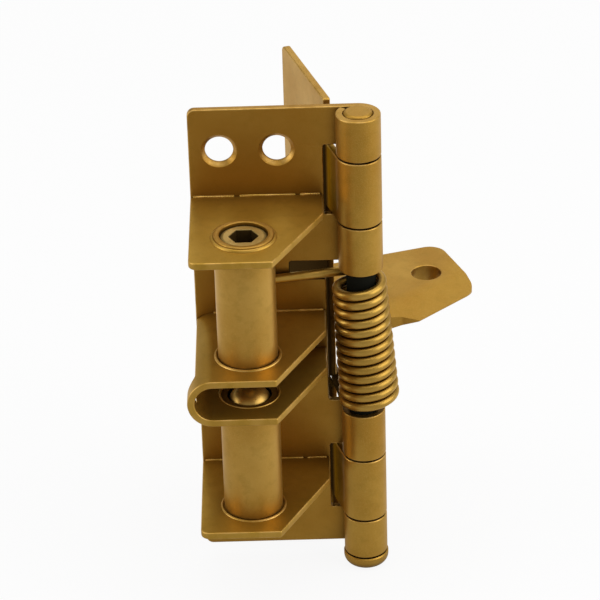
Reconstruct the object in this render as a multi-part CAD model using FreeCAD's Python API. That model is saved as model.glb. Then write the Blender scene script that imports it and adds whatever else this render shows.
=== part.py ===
import FreeCAD, Part
import math
import os

# Spring hinge with a hold-open catch, in millimetres.
# A fixed leaf carries two tubes of sprung balls on either side of a fork.
# A swinging leaf carries a tongue that turns into the fork and is held there by the balls.
# A torsion spring on the hinge pin turns the swinging leaf back again.
# +Z is up along the pin, and +Y points out of the fixed leaf's mounting face.
# The origin is in that face, at the centre of the fixed leaf's four screw holes.

# Sheet, pin and barrel
SHEET = 2.0
PIN_D = 8.0
RUNNING_FIT = 0.05
BARREL = 137.4
END_KNUCKLE = 12.3
SWING_KNUCKLE = 19.7
INNER_KNUCKLE = 14.5
KNUCKLE_GAP = 0.4
SEAM_GAP = 0.3
HEAD_D = 12.6
HEAD_H = 3.9
HEAD_ROUND = 2.6
PIN_CHAMFER = 0.7
PIN_PROUD = 0.5

# The two leaves, measured from the pin's axis
FIXED_LEAF_W = 45.4
SWING_LEAF_W = 47.6
LEAF_CORNER = 2.0
SLOT_W = 9.5
SLOT_ROOM = 0.8
NOTCH_W = 11.0
SWING_REST = 17.3

# Countersunk screw holes
HOLE_D = 7.6
SINK_D = 9.7
HOLE_EDGE = 8.2
HOLE_PITCH = 15.4
HOLE_END = 12.3
SWING_HOLE_Z = 38.0

# Flanges and fork welded across the fixed leaf
FLANGE_Z = 42.8
FLANGE_DEPTH = 37.4
FLANGE_SIDE = 9.9
FLANGE_STRAIGHT = 11.3
FLANGE_FRONT = 23.5
FLANGE_CORNER = 2.5
FORK_GAP = 9.8
BOW_STRIP = 5.0
LIP_INSET = 0.15
WELD_FIT = 0.05

# Tubes with their adjusting screws, springs and balls
TUBE_X = 31.0
TUBE_Y = 19.3
TUBE_D = 16.1
TUBE_SHORT = 0.4
TUBE_PROUD = 1.0
BALL_D = 12.7
BALL_FIT = 0.1
BALL_OUT = 1.4
BALL_GAP = 0.3
SCREW_L = 10.0
SCREW_RECESS = 0.7
SCREW_FIT = 0.05
SCREW_CHAMFER = 0.4
HEX_AF = 6.8
HEX_DEPTH = 5.5
DETENT_WIRE = 1.7
DETENT_MEAN_R = 4.7
DETENT_TURNS = 5.5
SEAT_GAP = 0.05

# Torsion spring round the pin, a little wider at its lower end
COIL_D = 15.1
COIL_SPREAD = 0.85
COIL_WIRE = 2.6
COIL_PITCH = 2.88
TOP_LEG_ROOM = 4.0
LOW_LEG_ROOM = 3.3
LEG_REACH = 19.3
LEG_TAIL = 7.0
SLIT_GAP = 0.3
COIL_LEAN = 3.6
COIL_SHIFT = 0.55
SPRING_CLEAR = 0.5

# Tongue welded to the swinging leaf
TONGUE = 5.0
TONGUE_REACH = 36.4
TONGUE_FAR = 38.7
TONGUE_CORNER = 5.0
NEAR_CORNER = 6.0
NEAR_U = 38.3
NEAR_V = 13.4
TIP_U = 17.65
TIP_V = 3.15
ROOT_U = 13.3
ROOT_V = 4.8
ROOT_CORNER = 3.0
CATCH_HOLE_D = 8.3
CATCH_ANGLE = 41.5
NOSE_W = 7.0
NOSE_LAND = 0.4

# Sizes that follow from these
PIN_R = PIN_D / 2
KNUCKLE_IN = PIN_R + RUNNING_FIT
KNUCKLE_R = KNUCKLE_IN + SHEET
TOP = BARREL / 2
SWING_HIGH = TOP - END_KNUCKLE
SWING_LOW = SWING_HIGH - SWING_KNUCKLE
WINDOW = SWING_LOW - INNER_KNUCKLE
FRONT = KNUCKLE_IN - FLANGE_DEPTH
FORK_IN = FORK_GAP / 2
FORK_OUT = FORK_IN + SHEET
TUBE_R = TUBE_D / 2
BALL_R = BALL_D / 2
BORE_R = BALL_R + BALL_FIT
BALL_Z = TONGUE / 2 + BALL_GAP + BALL_R
TUBE_END = FORK_IN + TUBE_SHORT
TUBE_TOP = FLANGE_Z + TUBE_PROUD
SCREW_TOP = TUBE_TOP - SCREW_RECESS
SCREW_END = SCREW_TOP - SCREW_L
COIL_R = (COIL_D - COIL_WIRE) / 2
HOLLOW_R = COIL_D / 2 + COIL_SPREAD + SPRING_CLEAR
LEG_LEAN = math.degrees(math.asin((COIL_D / 2 + SEAT_GAP) / math.hypot(LEG_REACH, KNUCKLE_IN))
                        - math.atan2(KNUCKLE_IN, LEG_REACH))
TOP_LEG_ANGLE = 90 + LEG_LEAN
LOW_LEG_ANGLE = 180 - LEG_LEAN + SWING_REST
PART_TURN = (LOW_LEG_ANGLE - TOP_LEG_ANGLE) / 360
COIL_TURNS = math.floor((2 * WINDOW - TOP_LEG_ROOM - LOW_LEG_ROOM) / COIL_PITCH + PART_TURN)
COIL_RISE = COIL_PITCH * (COIL_TURNS - PART_TURN)
LEG_Z = WINDOW - TOP_LEG_ROOM
LOW_LEG_Z = LEG_Z - COIL_RISE
LOW_LEG_OUT = (COIL_R + COIL_SPREAD) * math.cos(math.radians(LOW_LEG_ANGLE))
LOW_LEG_SINK = LOW_LEG_OUT * math.sin(math.radians(COIL_LEAN))
HOLE_NEAR = FIXED_LEAF_W - HOLE_EDGE - HOLE_PITCH
PIN_X = HOLE_NEAR + HOLE_PITCH / 2
Z_AXIS = FreeCAD.Vector(0, 0, 1)
MIDDLE = FreeCAD.Vector(0, 0, 0)


def at(x, y, z=0.0):
    return FreeCAD.Vector(x, y, z)


def arc(first, middle, last):
    return Part.Arc(first, middle, last).toShape()


def box(x_low, x_high, y_low, y_high, z_low, z_high):
    return Part.makeBox(x_high - x_low, y_high - y_low, z_high - z_low, at(x_low, y_low, z_low))


def rod(radius, z_low, z_high, x=0.0, y=0.0):
    return Part.makeCylinder(radius, z_high - z_low, at(x, y, z_low))


def outline(corners):
    """A flat face from (x, y, corner radius) in order."""
    edges = []
    count = len(corners)
    starts = []
    ends = []
    for i in range(count):
        x, y, radius = corners[i]
        here = at(x, y)
        before = at(*corners[i - 1][:2]) - here
        after = at(*corners[(i + 1) % count][:2]) - here
        turn = before.getAngle(after)
        reach = radius / math.tan(turn / 2) if radius else 0.0
        starts.append(here + before.normalize() * reach)
        ends.append(here + after.normalize() * reach)
        if radius:
            bisector = (before + after).normalize()
            depth = radius / math.sin(turn / 2) - radius
            edges.append(arc(starts[i], here + bisector * depth, ends[i]))
        if i:
            edges.append(Part.makeLine(ends[i - 1], starts[i]))
    edges.append(Part.makeLine(ends[-1], starts[0]))
    return Part.Face(Part.Wire(Part.__sortEdges__(edges)))


def plate(face, z_low, z_high):
    lifted = face.copy()
    lifted.translate(at(0, 0, z_low))
    return lifted.extrude(at(0, 0, z_high - z_low))


def on_ring(radius, degrees, z=0.0):
    angle = math.radians(degrees)
    return at(radius * math.cos(angle), radius * math.sin(angle), z)


def mirrored_down(shape):
    return shape.mirror(MIDDLE, Z_AXIS)


# A leaf is one sheet, tangent to the back of the barrel and rolled round the pin.
# Both leaves are cut from the same form, lying along -X with the screw heads on the -Y side.
def rolled_leaf(width):
    seam = 180 - math.degrees(math.asin((KNUCKLE_IN - SEAM_GAP) / KNUCKLE_R))
    halfway = (90 + seam) / 2 + 180
    edges = [
        Part.makeLine(at(-width, KNUCKLE_R), at(0, KNUCKLE_R)),
        arc(at(0, KNUCKLE_R), on_ring(KNUCKLE_R, halfway), on_ring(KNUCKLE_R, seam)),
        Part.makeLine(on_ring(KNUCKLE_R, seam), on_ring(KNUCKLE_IN, seam)),
        arc(on_ring(KNUCKLE_IN, seam), on_ring(KNUCKLE_IN, halfway), at(0, KNUCKLE_IN)),
        Part.makeLine(at(0, KNUCKLE_IN), at(-width, KNUCKLE_IN)),
        Part.makeLine(at(-width, KNUCKLE_IN), at(-width, KNUCKLE_R)),
    ]
    sheet = plate(Part.Face(Part.Wire(edges)), -TOP, TOP)
    corners = [e for e in sheet.Edges if e.BoundBox.XMax < 1e-6 - width and e.BoundBox.YLength > SHEET / 2]
    return sheet.makeFillet(LEAF_CORNER, corners)


def cut_away(reach, z_low, z_high):
    """The space taken out of a leaf from the barrel side, up to a distance from the pin's axis."""
    room = KNUCKLE_R + 1
    return box(-reach, room, -room, room, z_low, z_high)


def screw_hole(x, z):
    sink = (SINK_D - HOLE_D) / 2
    through = Part.makeCylinder(HOLE_D / 2, 2 * SHEET, at(x, KNUCKLE_IN - SHEET / 2, z), at(0, 1, 0))
    cone = Part.makeCone(SINK_D / 2, HOLE_D / 2, sink, at(x, KNUCKLE_IN, z), at(0, 1, 0))
    return through.fuse(cone)


def screw_holes(height):
    rows = [-HOLE_NEAR, -HOLE_NEAR - HOLE_PITCH]
    return [screw_hole(x, z) for x in rows for z in (-height, height)]


def leg_slit(z_high, z_low):
    """The slit that lets a spring leg cross the sheet and bear on its screw side."""
    return box(-LEG_REACH, 0, KNUCKLE_IN - 1, KNUCKLE_R + 1, z_low, z_high)


half_gap = KNUCKLE_GAP / 2

# Fixed leaf, with slots for the swinging knuckles and a window for the spring
fixed_cuts = screw_holes(TOP - HOLE_END)
slot_low = SWING_LOW - half_gap
slot_high = SWING_HIGH + half_gap
slot_end = box(-SLOT_W, -KNUCKLE_IN - 1, KNUCKLE_IN - SEAM_GAP / 2, KNUCKLE_R + 1,
               slot_high, slot_high + SLOT_ROOM)
upper_slot = cut_away(SLOT_W, slot_low, slot_high).fuse(slot_end)
fixed_cuts.append(upper_slot)
fixed_cuts.append(mirrored_down(upper_slot))
fixed_cuts.append(cut_away(SLOT_W, -WINDOW, WINDOW))
fixed_cuts.append(leg_slit(WINDOW, LEG_Z - COIL_WIRE / 2 - SLIT_GAP))
fixed_leaf = rolled_leaf(FIXED_LEAF_W).cut(fixed_cuts)

# Swinging leaf, the mirror image, cut back round the fixed knuckles and the spring
swing_cuts = screw_holes(SWING_HOLE_Z)
swing_cuts.append(cut_away(NOTCH_W, SWING_HIGH - half_gap, TOP + 1))
swing_cuts.append(cut_away(NOTCH_W, -SWING_LOW - half_gap, SWING_LOW + half_gap))
swing_cuts.append(cut_away(NOTCH_W, -TOP - 1, -SWING_HIGH + half_gap))
leg_room = COIL_WIRE / 2 + SLIT_GAP
low_leg = LOW_LEG_Z + LOW_LEG_SINK
swing_cuts.append(leg_slit(low_leg + leg_room, low_leg - leg_room))
swing_leaf = rolled_leaf(SWING_LEAF_W).cut(swing_cuts)
swing_leaf = swing_leaf.mirror(MIDDLE, at(1, 1, 0))
swing_leaf.rotate(MIDDLE, Z_AXIS, SWING_REST)

# Hinge pin, with a rounded head under the barrel and its other end a little proud of it
pin_top = TOP + PIN_PROUD
head_top = -TOP - KNUCKLE_GAP
head_low = head_top - HEAD_H
head_r = HEAD_D / 2
head_bend = HEAD_ROUND * math.sqrt(0.5)
pin_profile = [
    Part.makeLine(at(0, 0, head_low), at(head_r - HEAD_ROUND, 0, head_low)),
    arc(at(head_r - HEAD_ROUND, 0, head_low),
        at(head_r - HEAD_ROUND + head_bend, 0, head_low + HEAD_ROUND - head_bend),
        at(head_r, 0, head_low + HEAD_ROUND)),
    Part.makeLine(at(head_r, 0, head_low + HEAD_ROUND), at(head_r, 0, head_top)),
    Part.makeLine(at(head_r, 0, head_top), at(PIN_R, 0, head_top)),
    Part.makeLine(at(PIN_R, 0, head_top), at(PIN_R, 0, pin_top - PIN_CHAMFER)),
    Part.makeLine(at(PIN_R, 0, pin_top - PIN_CHAMFER), at(PIN_R - PIN_CHAMFER, 0, pin_top)),
    Part.makeLine(at(PIN_R - PIN_CHAMFER, 0, pin_top), at(0, 0, pin_top)),
    Part.makeLine(at(0, 0, pin_top), at(0, 0, head_low)),
]
hinge_pin = Part.Face(Part.Wire(pin_profile)).revolve(MIDDLE, Z_AXIS, 360)

# Flanges: flat plates with the corner by the pin cut off to let the swinging leaf past
flange_sides = [
    (-FIXED_LEAF_W, KNUCKLE_IN, 0),
    (-FLANGE_SIDE, KNUCKLE_IN, 0),
    (-FLANGE_SIDE, KNUCKLE_IN - FLANGE_STRAIGHT, 0),
    (-FLANGE_FRONT, FRONT, 0),
]
flange_face = outline(flange_sides + [(-FIXED_LEAF_W, FRONT, FLANGE_CORNER)])
tube_hole = rod(TUBE_R + WELD_FIT, -TOP, TOP, -TUBE_X, -TUBE_Y)
upper_flange = plate(flange_face, FLANGE_Z - SHEET, FLANGE_Z).cut(tube_hole)
lower_flange = mirrored_down(upper_flange)

# Fork: a sheet bent into a U, its bow trimmed away but for a strip at the front
bow_x = -FIXED_LEAF_W + FORK_OUT - SHEET
fork_edges = [
    Part.makeLine(at(0, FRONT, FORK_OUT), at(bow_x, FRONT, FORK_OUT)),
    arc(at(bow_x, FRONT, FORK_OUT), at(bow_x - FORK_OUT, FRONT, 0), at(bow_x, FRONT, -FORK_OUT)),
    Part.makeLine(at(bow_x, FRONT, -FORK_OUT), at(0, FRONT, -FORK_OUT)),
    Part.makeLine(at(0, FRONT, -FORK_OUT), at(0, FRONT, -FORK_IN)),
    Part.makeLine(at(0, FRONT, -FORK_IN), at(bow_x, FRONT, -FORK_IN)),
    arc(at(bow_x, FRONT, -FORK_IN), at(bow_x - FORK_IN, FRONT, 0), at(bow_x, FRONT, FORK_IN)),
    Part.makeLine(at(bow_x, FRONT, FORK_IN), at(0, FRONT, FORK_IN)),
    Part.makeLine(at(0, FRONT, FORK_IN), at(0, FRONT, FORK_OUT)),
]
channel = Part.Face(Part.Wire(fork_edges)).extrude(at(0, FLANGE_DEPTH, 0))
lip_x = -FIXED_LEAF_W + LIP_INSET
strip_back = FRONT + BOW_STRIP
fork_plan = outline(flange_sides[1:] + [
    (bow_x - FORK_OUT - 1, FRONT, 0),
    (bow_x - FORK_OUT - 1, strip_back, 0),
    (lip_x, strip_back, SHEET),
    (lip_x, KNUCKLE_IN, 0),
])
fork_bracket = channel.common(plate(fork_plan, -TOP, TOP)).cut(tube_hole)

# Tube: its bore closes a little round the ball at the fork end, so the ball stays in
lip_drop = BALL_Z - BALL_OUT - TUBE_END
mouth_r = math.sqrt(BORE_R ** 2 - lip_drop ** 2)
lip_mid = math.radians(math.degrees(math.asin(lip_drop / BORE_R)) / 2)
ball_out_z = TUBE_END + lip_drop
tube_profile = [
    Part.makeLine(at(TUBE_R, 0, TUBE_END), at(TUBE_R, 0, TUBE_TOP)),
    Part.makeLine(at(TUBE_R, 0, TUBE_TOP), at(BORE_R, 0, TUBE_TOP)),
    Part.makeLine(at(BORE_R, 0, TUBE_TOP), at(BORE_R, 0, ball_out_z)),
    arc(at(BORE_R, 0, ball_out_z),
        at(BORE_R * math.cos(lip_mid), 0, ball_out_z - BORE_R * math.sin(lip_mid)),
        at(mouth_r, 0, TUBE_END)),
    Part.makeLine(at(mouth_r, 0, TUBE_END), at(TUBE_R, 0, TUBE_END)),
]
upper_tube = Part.Face(Part.Wire(tube_profile)).revolve(MIDDLE, Z_AXIS, 360)

# Adjusting screw: threaded into the tube's outer end, with a hexagon socket
screw_r = BORE_R - SCREW_FIT
screw_bevel = SCREW_CHAMFER * 0.7
upper_screw = rod(screw_r, SCREW_END, SCREW_TOP - screw_bevel)
upper_screw = upper_screw.fuse(
    Part.makeCone(screw_r, screw_r - SCREW_CHAMFER, screw_bevel, at(0, 0, SCREW_TOP - screw_bevel)))
hexagon = Part.makePolygon([on_ring(HEX_AF / math.sqrt(3), 60 * i, SCREW_TOP - HEX_DEPTH) for i in range(7)])
upper_screw = upper_screw.cut(Part.Face(hexagon).extrude(at(0, 0, HEX_DEPTH + 1)))


def coil(mean_radius, spread, wire, pitch, height, sides, steps):
    """Sections of a wire along a right-hand helix that rises from +X, wider by the spread at its foot."""
    climb = math.atan(pitch / (2 * math.pi * mean_radius))
    count = round(steps * height / pitch)
    corners = [on_ring(wire / 2, 360 * (k + 0.5) / sides) for k in range(sides + 1)]
    sections = []
    for i in range(count + 1):
        turn = 360 * height / pitch * i / count
        centre = on_ring(mean_radius + spread * (1 - i / count), turn, height * i / count)
        outward = on_ring(1, turn)
        upward = Z_AXIS * math.cos(climb) - on_ring(1, turn + 90) * math.sin(climb)
        sections.append(Part.makePolygon([centre + outward * c.x + upward * c.y for c in corners]))
    return sections


def drawn_wire(sections):
    return Part.makeLoft(sections, True, True)


# Detent spring between the screw and the ball, and the ball itself
seat_rise = math.sqrt((BALL_R + DETENT_WIRE / 2) ** 2 - DETENT_MEAN_R ** 2)
detent_low = BALL_Z + seat_rise + SEAT_GAP
detent_height = SCREW_END - DETENT_WIRE / 2 - SEAT_GAP - detent_low
detent_coil = coil(DETENT_MEAN_R, 0, DETENT_WIRE, detent_height / DETENT_TURNS, detent_height, 6, 14)
upper_detent_spring = drawn_wire(detent_coil)
upper_detent_spring.translate(at(0, 0, detent_low))
upper_ball = Part.makeSphere(BALL_R, at(0, 0, BALL_Z))

for piece in (upper_tube, upper_screw, upper_detent_spring, upper_ball):
    piece.translate(at(-TUBE_X, -TUBE_Y, 0))

# Torsion spring: close coils that lean on the pin, with a straight leg at each end.
# Each leg crosses a slit and bears on the screw side of its leaf, at the slit's far end.
coil_sections = coil(COIL_R, COIL_SPREAD, COIL_WIRE, COIL_PITCH, COIL_RISE, 8, 18)
for section in coil_sections:
    section.rotate(MIDDLE, Z_AXIS, LOW_LEG_ANGLE)
    section.translate(at(0, 0, LOW_LEG_Z))
    section.rotate(MIDDLE, at(0, 1, 0), -COIL_LEAN)
    section.translate(at(COIL_SHIFT, 0, 0))


def leg_end(section, slit_end, side):
    """The far end of a straight leg that leaves the coil at a section and passes beside a slit's end."""
    across = slit_end - section.CenterOfMass
    across.z = 0
    clear = math.degrees(math.asin((COIL_WIRE / 2 + SEAT_GAP) / across.Length))
    direction = FreeCAD.Rotation(Z_AXIS, side * clear).multVec(across).normalize()
    end = section.copy()
    end.translate(direction * (across.Length + LEG_TAIL))
    return end


turned = FreeCAD.Rotation(Z_AXIS, SWING_REST)
low_end = leg_end(coil_sections[0], turned.multVec(at(-KNUCKLE_IN, LEG_REACH)), -1)
top_end = leg_end(coil_sections[-1], at(-LEG_REACH, KNUCKLE_IN), 1)
torsion_spring = drawn_wire([low_end] + coil_sections + [top_end])

# Tongue: a thicker plate on the swinging leaf, hollowed round the spring and ground to a wedge at the front.
# It is drawn with u straight out of the leaf and v along it, before it is turned to the leaf's rest.
tongue_face = outline([
    (-KNUCKLE_IN, ROOT_V, 0),
    (ROOT_U, ROOT_V, ROOT_CORNER),
    (TIP_U, TIP_V, 0),
    (NEAR_U, NEAR_V, NEAR_CORNER),
    (TONGUE_REACH, TONGUE_FAR, TONGUE_CORNER),
    (-KNUCKLE_IN, TONGUE_FAR, 0),
])
detent_tongue = plate(tongue_face, -TONGUE / 2, TONGUE / 2).cut(rod(HOLLOW_R, -TONGUE, TONGUE))
catch_r = math.hypot(TUBE_X, TUBE_Y)
catch = on_ring(catch_r, CATCH_ANGLE)
detent_tongue = detent_tongue.cut(rod(CATCH_HOLE_D / 2, -TONGUE, TONGUE, catch.x, catch.y))
lead = at(NEAR_U - TIP_U, NEAR_V - TIP_V).normalize()
inward = at(-lead.y, lead.x)
lead_start = at(TIP_U, TIP_V) - lead * TONGUE_REACH
nose_drop = (TONGUE - NOSE_LAND) / 2
nose_slope = nose_drop / NOSE_W
wedge = Part.makePolygon([
    lead_start - inward + at(0, 0, TONGUE / 2 - nose_drop - nose_slope),
    lead_start + inward * (NOSE_W + 1) + at(0, 0, TONGUE / 2 + nose_slope),
    lead_start - inward + at(0, 0, TONGUE / 2 + nose_slope),
    lead_start - inward + at(0, 0, TONGUE / 2 - nose_drop - nose_slope),
])
upper_wedge = Part.Face(wedge).extrude(lead * 3 * TONGUE_REACH)
detent_tongue = detent_tongue.cut([upper_wedge, mirrored_down(upper_wedge)])
detent_tongue.rotate(MIDDLE, Z_AXIS, SWING_REST)

nodes = {
    "fixed_leaf": fixed_leaf,
    "upper_flange": upper_flange,
    "lower_flange": lower_flange,
    "fork_bracket": fork_bracket,
    "upper_tube": upper_tube,
    "lower_tube": mirrored_down(upper_tube),
    "upper_adjusting_screw": upper_screw,
    "lower_adjusting_screw": mirrored_down(upper_screw),
    "upper_detent_spring": upper_detent_spring,
    "lower_detent_spring": mirrored_down(upper_detent_spring),
    "upper_ball": upper_ball,
    "lower_ball": mirrored_down(upper_ball),
    "hinge_pin": hinge_pin,
    "torsion_spring": torsion_spring,
    "swing_leaf": swing_leaf,
    "detent_tongue": detent_tongue,
}

# From the pin's axis to the mounting face
os.makedirs("parts", exist_ok=True)
for name, shape in nodes.items():
    solid = shape.Solids[0]
    solid.translate(at(PIN_X, -KNUCKLE_R, 0))
    solid.exportStep(os.path.join("parts", name + ".step"))
    print(name, solid.isValid(), len(shape.Solids), round(solid.Volume, 1))
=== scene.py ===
import math

import bmesh
import bpy
from mathutils import Matrix, Vector
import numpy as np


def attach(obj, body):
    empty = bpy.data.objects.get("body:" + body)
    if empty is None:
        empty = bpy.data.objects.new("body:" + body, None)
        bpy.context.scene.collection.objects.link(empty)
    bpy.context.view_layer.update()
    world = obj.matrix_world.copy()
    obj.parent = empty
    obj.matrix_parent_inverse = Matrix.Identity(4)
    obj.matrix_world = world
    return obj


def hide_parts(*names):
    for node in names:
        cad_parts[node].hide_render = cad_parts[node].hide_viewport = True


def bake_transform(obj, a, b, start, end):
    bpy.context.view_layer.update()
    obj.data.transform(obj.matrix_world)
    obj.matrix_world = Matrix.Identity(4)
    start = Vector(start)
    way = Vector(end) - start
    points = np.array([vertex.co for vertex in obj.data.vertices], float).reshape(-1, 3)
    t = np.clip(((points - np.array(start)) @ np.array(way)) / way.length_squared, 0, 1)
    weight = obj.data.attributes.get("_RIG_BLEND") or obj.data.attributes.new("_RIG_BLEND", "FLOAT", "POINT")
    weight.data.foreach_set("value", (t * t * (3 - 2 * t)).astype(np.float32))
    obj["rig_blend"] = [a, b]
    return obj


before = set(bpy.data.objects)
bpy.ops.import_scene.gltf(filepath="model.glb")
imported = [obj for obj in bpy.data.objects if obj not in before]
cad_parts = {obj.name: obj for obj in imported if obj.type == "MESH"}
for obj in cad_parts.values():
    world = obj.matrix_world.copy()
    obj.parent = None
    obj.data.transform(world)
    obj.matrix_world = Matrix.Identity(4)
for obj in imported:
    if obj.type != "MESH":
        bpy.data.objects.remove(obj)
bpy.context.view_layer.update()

# Fixed leaf: one blank of 2 mm steel sheet, punched flat, its four fingers then rolled into knuckles.
# Four countersunk screws hold it to the door frame. The spring shows in the window between its knuckles.
# The whole hinge is sprayed bronze-gold when assembled and is thin and worn pale on cut edges; on the
# cut faces that paleness is partly a painted highlight. The flat of this leaf is darker, as painted shade.
MM = 0.001
HAIR = 0.001
PIN_X = 29.5
PIN_Y = -6.05
SHEET = 2.0
CUT_EDGE = 0.34
CUT_FACE_WEAR_AND_HIGHLIGHT = 0.3
SHARP_FOLD = math.radians(40)
CORNER_R = 2
PUNCH_R = 0.6
KNUCKLE_IN = 4.05
KNUCKLE_MID = KNUCKLE_IN + SHEET / 2
ROLL = math.radians(308)
ROLL_STEPS = 56
FINGER = KNUCKLE_MID * ROLL
TOP = 68.7
SWING_HIGH = 56.4
SWING_LOW = 36.7
KNUCKLE_GAP = 0.25
WINDOW = 22.2
WINDOW_R = 1
FIXED_W = 45.4
SLOT = 9.5
SLOT_ROOM = 0.8
SLOT_STEP = 5.05
SLIT_END = 19.3
SLIT_RIM = 0.3
LEG_Z = 18.2
LEG_PLAY = 0.3
SPRING_WIRE = 2.6
HOLE_R = 3.8
HOLE_RIM = 0.05
SINK_R = 4.85
HOLE_NEAR = 21.8
HOLE_FAR = 37.2
FIXED_HOLE_Z = 56.4
# The flat of the fixed leaf is darkened as painted shade, most towards its top and less towards its foot.
FLAT_SHADE_FROM = 1.0
FLAT_SHADE_TO = 4.0
FLAT_SHADE_MID = 0.8
FLAT_SHADE_RISE = 0.2
PAINT_LIGHT = (0.50, 0.285, 0.046, 1)
PAINT_DEEP = (0.42, 0.22, 0.028, 1)
PAINT_WORN = (0.70, 0.43, 0.12, 1)
FLAT_SHADE_COLOUR = (0.255, 0.10, 0.002, 1)
PAINT_SHEEN = (1, 0.93, 0.8, 1)
PEEL_DEPTH = 0.0001
GLOSS_RANGE = 0.06
STAIN = (0.28, 0.17, 0.018, 1)
# Painted shade: the colour that crevices and corners are darkened to.
CREVICE_SHADE = (0.09, 0.045, 0.008, 1)
# Dark steel colour, both for steel left without paint and laid on as painted shade.
BARE_STEEL_AND_SHADE = (0.04, 0.022, 0.006, 1)
BARE_AND_SHADE_SHEEN = (0.43, 0.33, 0.15, 1)


def arc_points(x, y, radius, start, sweep, step=0.12):
    """Points along an arc, angles in radians."""
    count = max(2, math.ceil(abs(sweep) / step))
    angles = [start + sweep * i / count for i in range(count + 1)]
    return [Vector((x + radius * math.cos(a), y + radius * math.sin(a))) for a in angles]


def outline(corners):
    """A closed outline through (x, y, corner radius)."""
    points = []
    for i, (x, y, radius) in enumerate(corners):
        here = Vector((x, y))
        if not radius:
            points.append(here)
            continue
        back = (Vector(corners[i - 1][:2]) - here).normalized()
        ahead = (Vector(corners[(i + 1) % len(corners)][:2]) - here).normalized()
        half = back.angle(ahead) / 2
        centre = here + (back + ahead).normalized() * radius / math.sin(half)
        first = here + back * radius / math.tan(half) - centre
        last = here + ahead * radius / math.tan(half) - centre
        start = math.atan2(first.y, first.x)
        sweep = (math.atan2(last.y, last.x) - start + math.pi) % math.tau - math.pi
        points += arc_points(centre.x, centre.y, radius, start, sweep)
    return points


def round_hole(x, y, radius):
    """The outline of a round hole."""
    return arc_points(x, y, radius, 0, math.tau)[:-1]


def cut_sheet(loops, thickness):
    """A flat sheet cut to the first loop, the other loops its holes, with edges eased by the paint."""
    curve = bpy.data.curves.new("blank", "CURVE")
    curve.dimensions = "2D"
    curve.fill_mode = "BOTH"
    curve.extrude = thickness / 2 - CUT_EDGE
    curve.bevel_depth = CUT_EDGE
    curve.bevel_resolution = 2
    curve.offset = -CUT_EDGE
    for loop in loops:
        spline = curve.splines.new("POLY")
        spline.points.add(len(loop) - 1)
        for point, place in zip(spline.points, loop):
            point.co = (place[0], place[1], 0, 1)
        spline.use_cyclic_u = True
    blank = bpy.data.objects.new("blank", curve)
    bpy.context.scene.collection.objects.link(blank)
    drawn = blank.evaluated_get(bpy.context.evaluated_depsgraph_get())
    mesh = bpy.data.meshes.new_from_object(drawn)
    sheet = bmesh.new()
    sheet.from_mesh(mesh)
    bpy.data.objects.remove(blank)
    bpy.data.curves.remove(curve)
    bpy.data.meshes.remove(mesh)
    bmesh.ops.remove_doubles(sheet, verts=sheet.verts, dist=HAIR / 10)
    worn = sheet.verts.layers.float.new("worn_edge")
    for vert in sheet.verts:
        depth = thickness / 2 - abs(vert.co.z)
        # Eased edges are worn pale; the cut faces get some of that paleness, partly as a painted highlight.
        vert[worn] = 0.0 if depth < HAIR else 1.0 if depth < CUT_EDGE - HAIR else CUT_FACE_WEAR_AND_HIGHLIGHT
    return sheet


def countersink(sheet, holes):
    """Opens each screw hole into a cone on the sheet's lower face."""
    for x, y in holes:
        for vert in sheet.verts:
            across = Vector((vert.co.x - x, vert.co.y - y))
            at_hole = across.length < HOLE_R + CUT_EDGE + HOLE_RIM
            if at_hole and vert.co.z < CUT_EDGE + HAIR - SHEET / 2:
                share = (across.length - HOLE_R) / CUT_EDGE
                across *= (HOLE_R + share * (SINK_R - HOLE_R)) / across.length
                vert.co = (x + across.x, y + across.y, (1 - share) * (SINK_R - HOLE_R) - SHEET / 2)


def score(form, place, across, **trim):
    """Cuts a line of points into a form along a plane, for it to bend, change tone or end there."""
    everything = form.verts[:] + form.edges[:] + form.faces[:]
    return bmesh.ops.bisect_plane(form, geom=everything, plane_co=place, plane_no=across, **trim)


def roll_fingers(sheet):
    """Rolls what lies beyond x = 0 once round the pin, and stands the rest up as the leaf."""
    for i in range(ROLL_STEPS):
        score(sheet, (FINGER * i / ROLL_STEPS, 0, 0), (1, 0, 0))
    for vert in sheet.verts:
        along, height, out = vert.co
        radius = KNUCKLE_MID + out
        if along <= 0:
            vert.co = (along, radius, height)
        else:
            angle = math.pi / 2 - along / KNUCKLE_MID
            vert.co = (radius * math.cos(angle), radius * math.sin(angle), height)


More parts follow.
